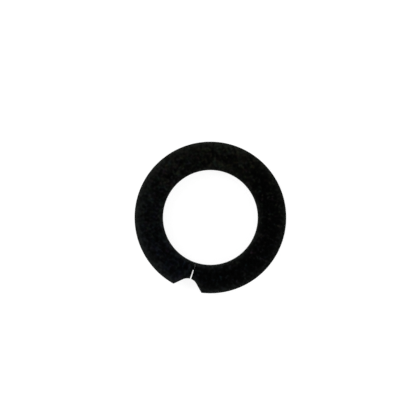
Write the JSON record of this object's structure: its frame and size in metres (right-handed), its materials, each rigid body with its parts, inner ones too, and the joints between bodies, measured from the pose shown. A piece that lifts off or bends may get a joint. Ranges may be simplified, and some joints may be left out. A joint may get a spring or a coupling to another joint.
{
  "type": "split retaining ring",
  "caption": "Flat black steel retaining ring, split through on one radius, with a round-rooted V notch in its rim over the split for spreading it onto a shaft.",
  "frame": {"origin": "on the bore's axis, at the ring's underside", "axes": "+Z along the bore's axis, up from the face it lies on; the split and its notch are centred on -Y; +X completes the right-handed frame"},
  "size_m": [0.0254, 0.0252, 0.0016],
  "materials": {
    "black_finish_steel": "satin"
  },
  "bodies": {
    "root": {"retaining_ring": "black_finish_steel"}
  },
  "joints": []
}
